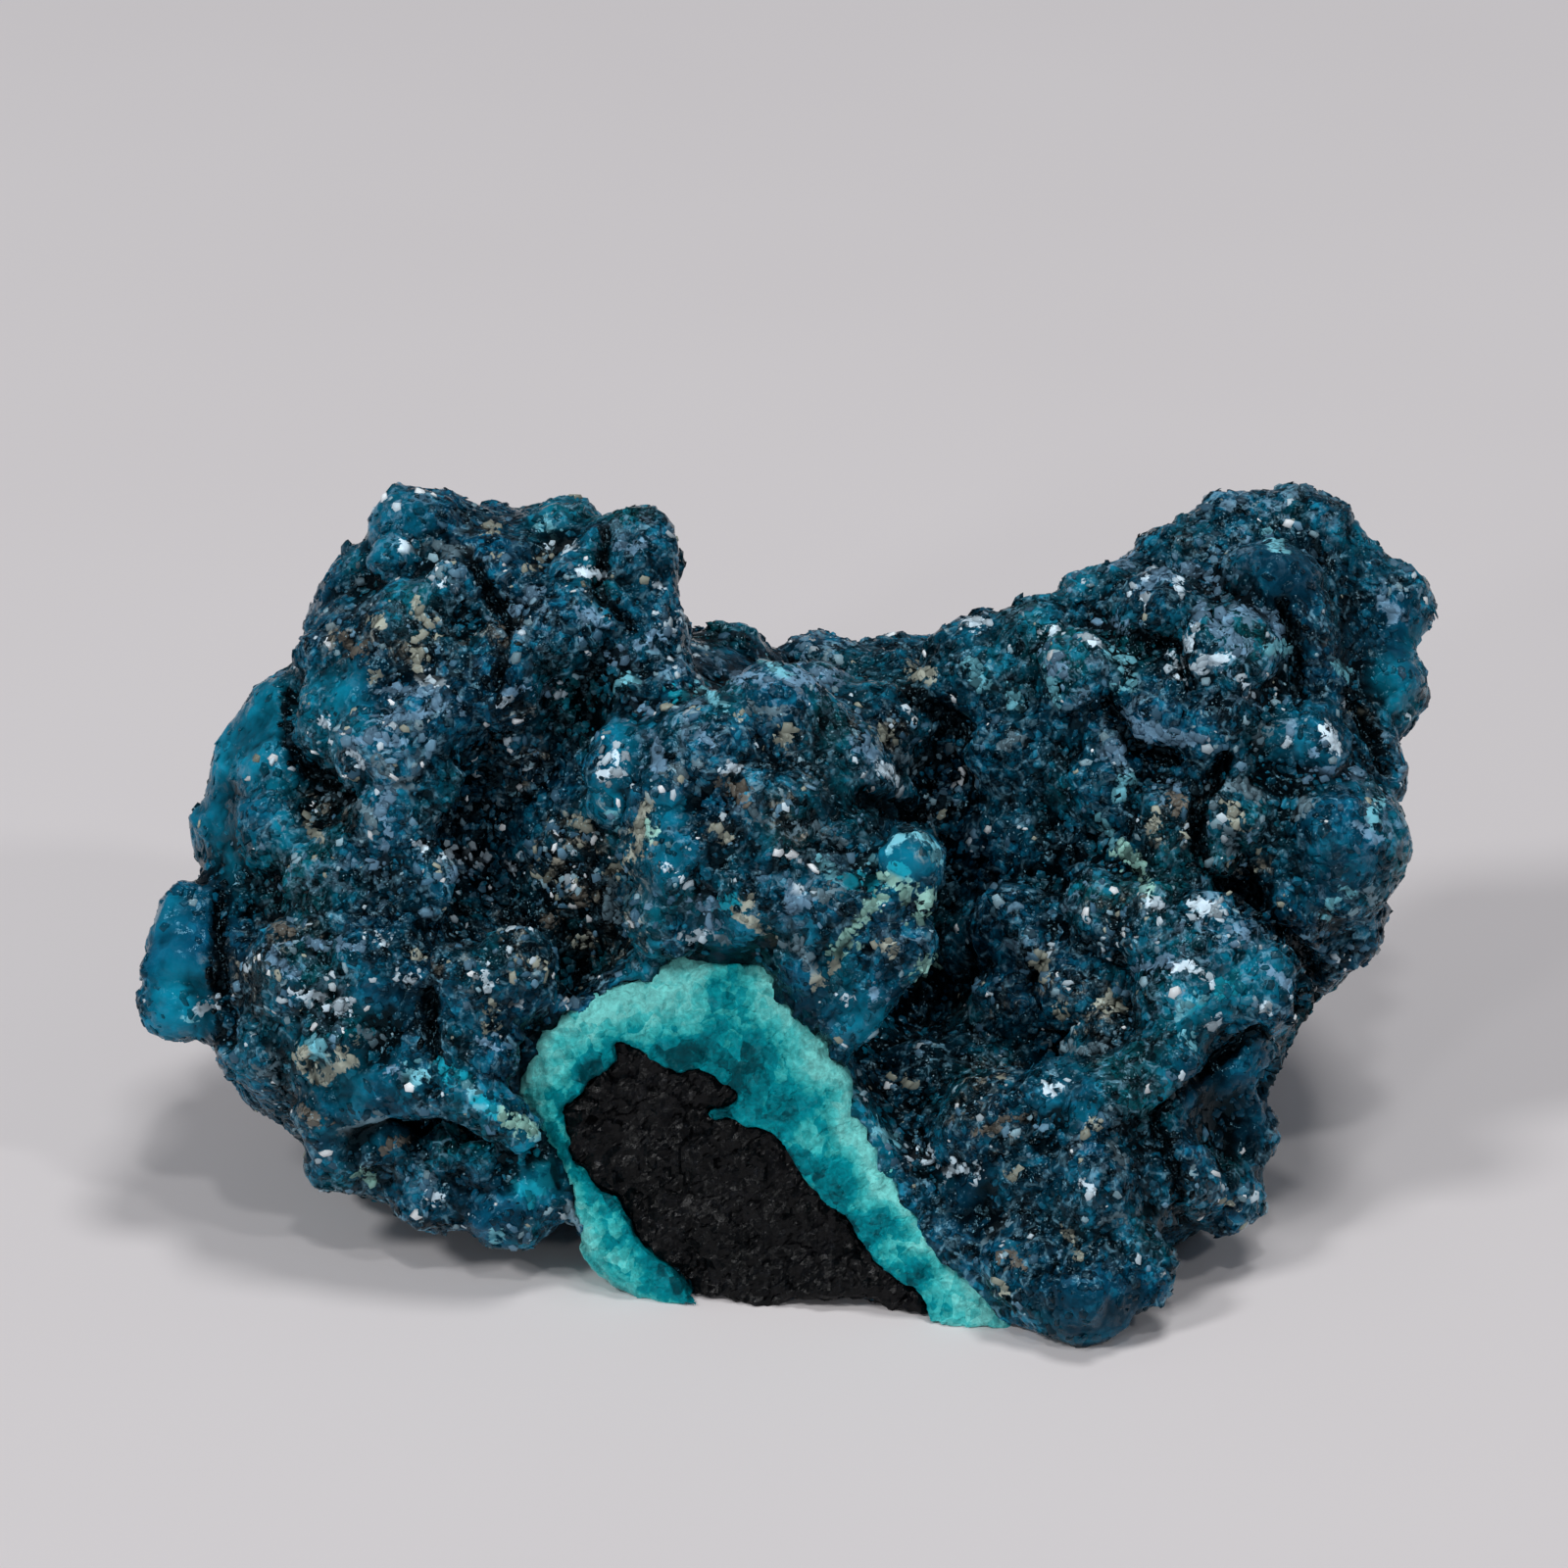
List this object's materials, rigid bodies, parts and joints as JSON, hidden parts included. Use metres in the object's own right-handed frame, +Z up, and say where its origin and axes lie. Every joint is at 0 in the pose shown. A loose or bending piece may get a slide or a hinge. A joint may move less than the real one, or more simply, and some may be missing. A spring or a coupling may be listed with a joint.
{
  "type": "malachite pseudomorph after chrysocolla",
  "caption": "Loose lumpy crust of dark blue druse with a broken foot that shows a black core in a pale turquoise rind; stands leaning back on its flat base.",
  "frame": {"origin": "centre of the bounding box, on the surface that the specimen stands on", "axes": "+Z up, +X along the length to the right of the display side, -Y towards the viewer of the display side"},
  "size_m": [0.0372, 0.0244, 0.0193],
  "materials": {
    "druse": "fine sparkling druse, glassy on the lumps, dull on the broken face"
  },
  "bodies": {
    "root": {"specimen": "druse"}
  },
  "joints": []
}
